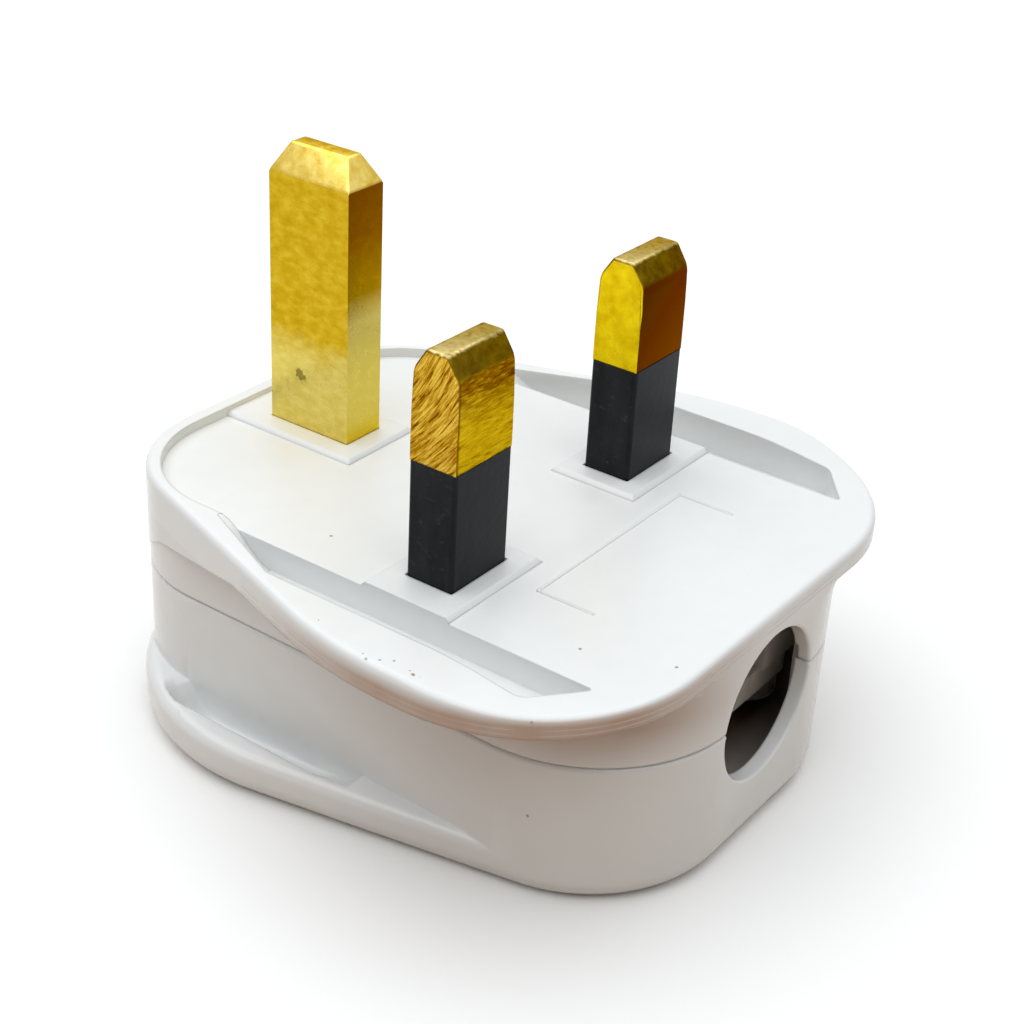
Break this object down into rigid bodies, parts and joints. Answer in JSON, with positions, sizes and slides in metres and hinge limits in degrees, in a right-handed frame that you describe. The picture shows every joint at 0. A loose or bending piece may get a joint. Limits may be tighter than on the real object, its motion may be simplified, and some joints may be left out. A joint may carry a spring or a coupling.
{
  "type": "three-pin mains plug",
  "caption": "White rewirable mains plug with brass pins, black-sleeved live and neutral pins, a flared front flange, side pockets and a finger lip; shown with no cord fitted.",
  "frame": {"origin": "on the flat back face, under the line that joins the live and neutral pins, midway between them", "axes": "+Z out of the back face towards the pin tips, +Y from the cable end to the earth pin, +X from the live pin to the neutral pin"},
  "size_m": [0.0504, 0.0516, 0.0432],
  "materials": {
    "housing": "gloss",
    "pin_brass": "satin",
    "sleeve_black": "matte",
    "clip_copper": "satin",
    "fuse_ceramic": "gloss",
    "screw_steel": "satin",
    "fibre": "matte",
    "grip_plastic": "matte"
  },
  "bodies": {
    "root": {"base": "housing", "cover": "housing", "earth_pin": "pin_brass", "neutral_pin": "pin_brass", "live_pin": "pin_brass", "neutral_sleeve": "sleeve_black", "live_sleeve": "sleeve_black", "live_terminal": "pin_brass", "live_pin_clip": "clip_copper", "live_terminal_clip": "clip_copper", "fuse_tube": "fuse_ceramic", "fuse_cap_pin_end": "screw_steel", "fuse_cap_terminal_end": "screw_steel", "earth_terminal_screw": "screw_steel", "neutral_terminal_screw": "screw_steel", "live_terminal_screw": "screw_steel", "cord_grip": "grip_plastic", "cord_grip_screw_live_side": "screw_steel", "cord_grip_screw_neutral_side": "screw_steel", "cover_screw": "screw_steel", "cover_screw_retainer": "fibre", "cover_nut": "pin_brass"}
  },
  "joints": []
}
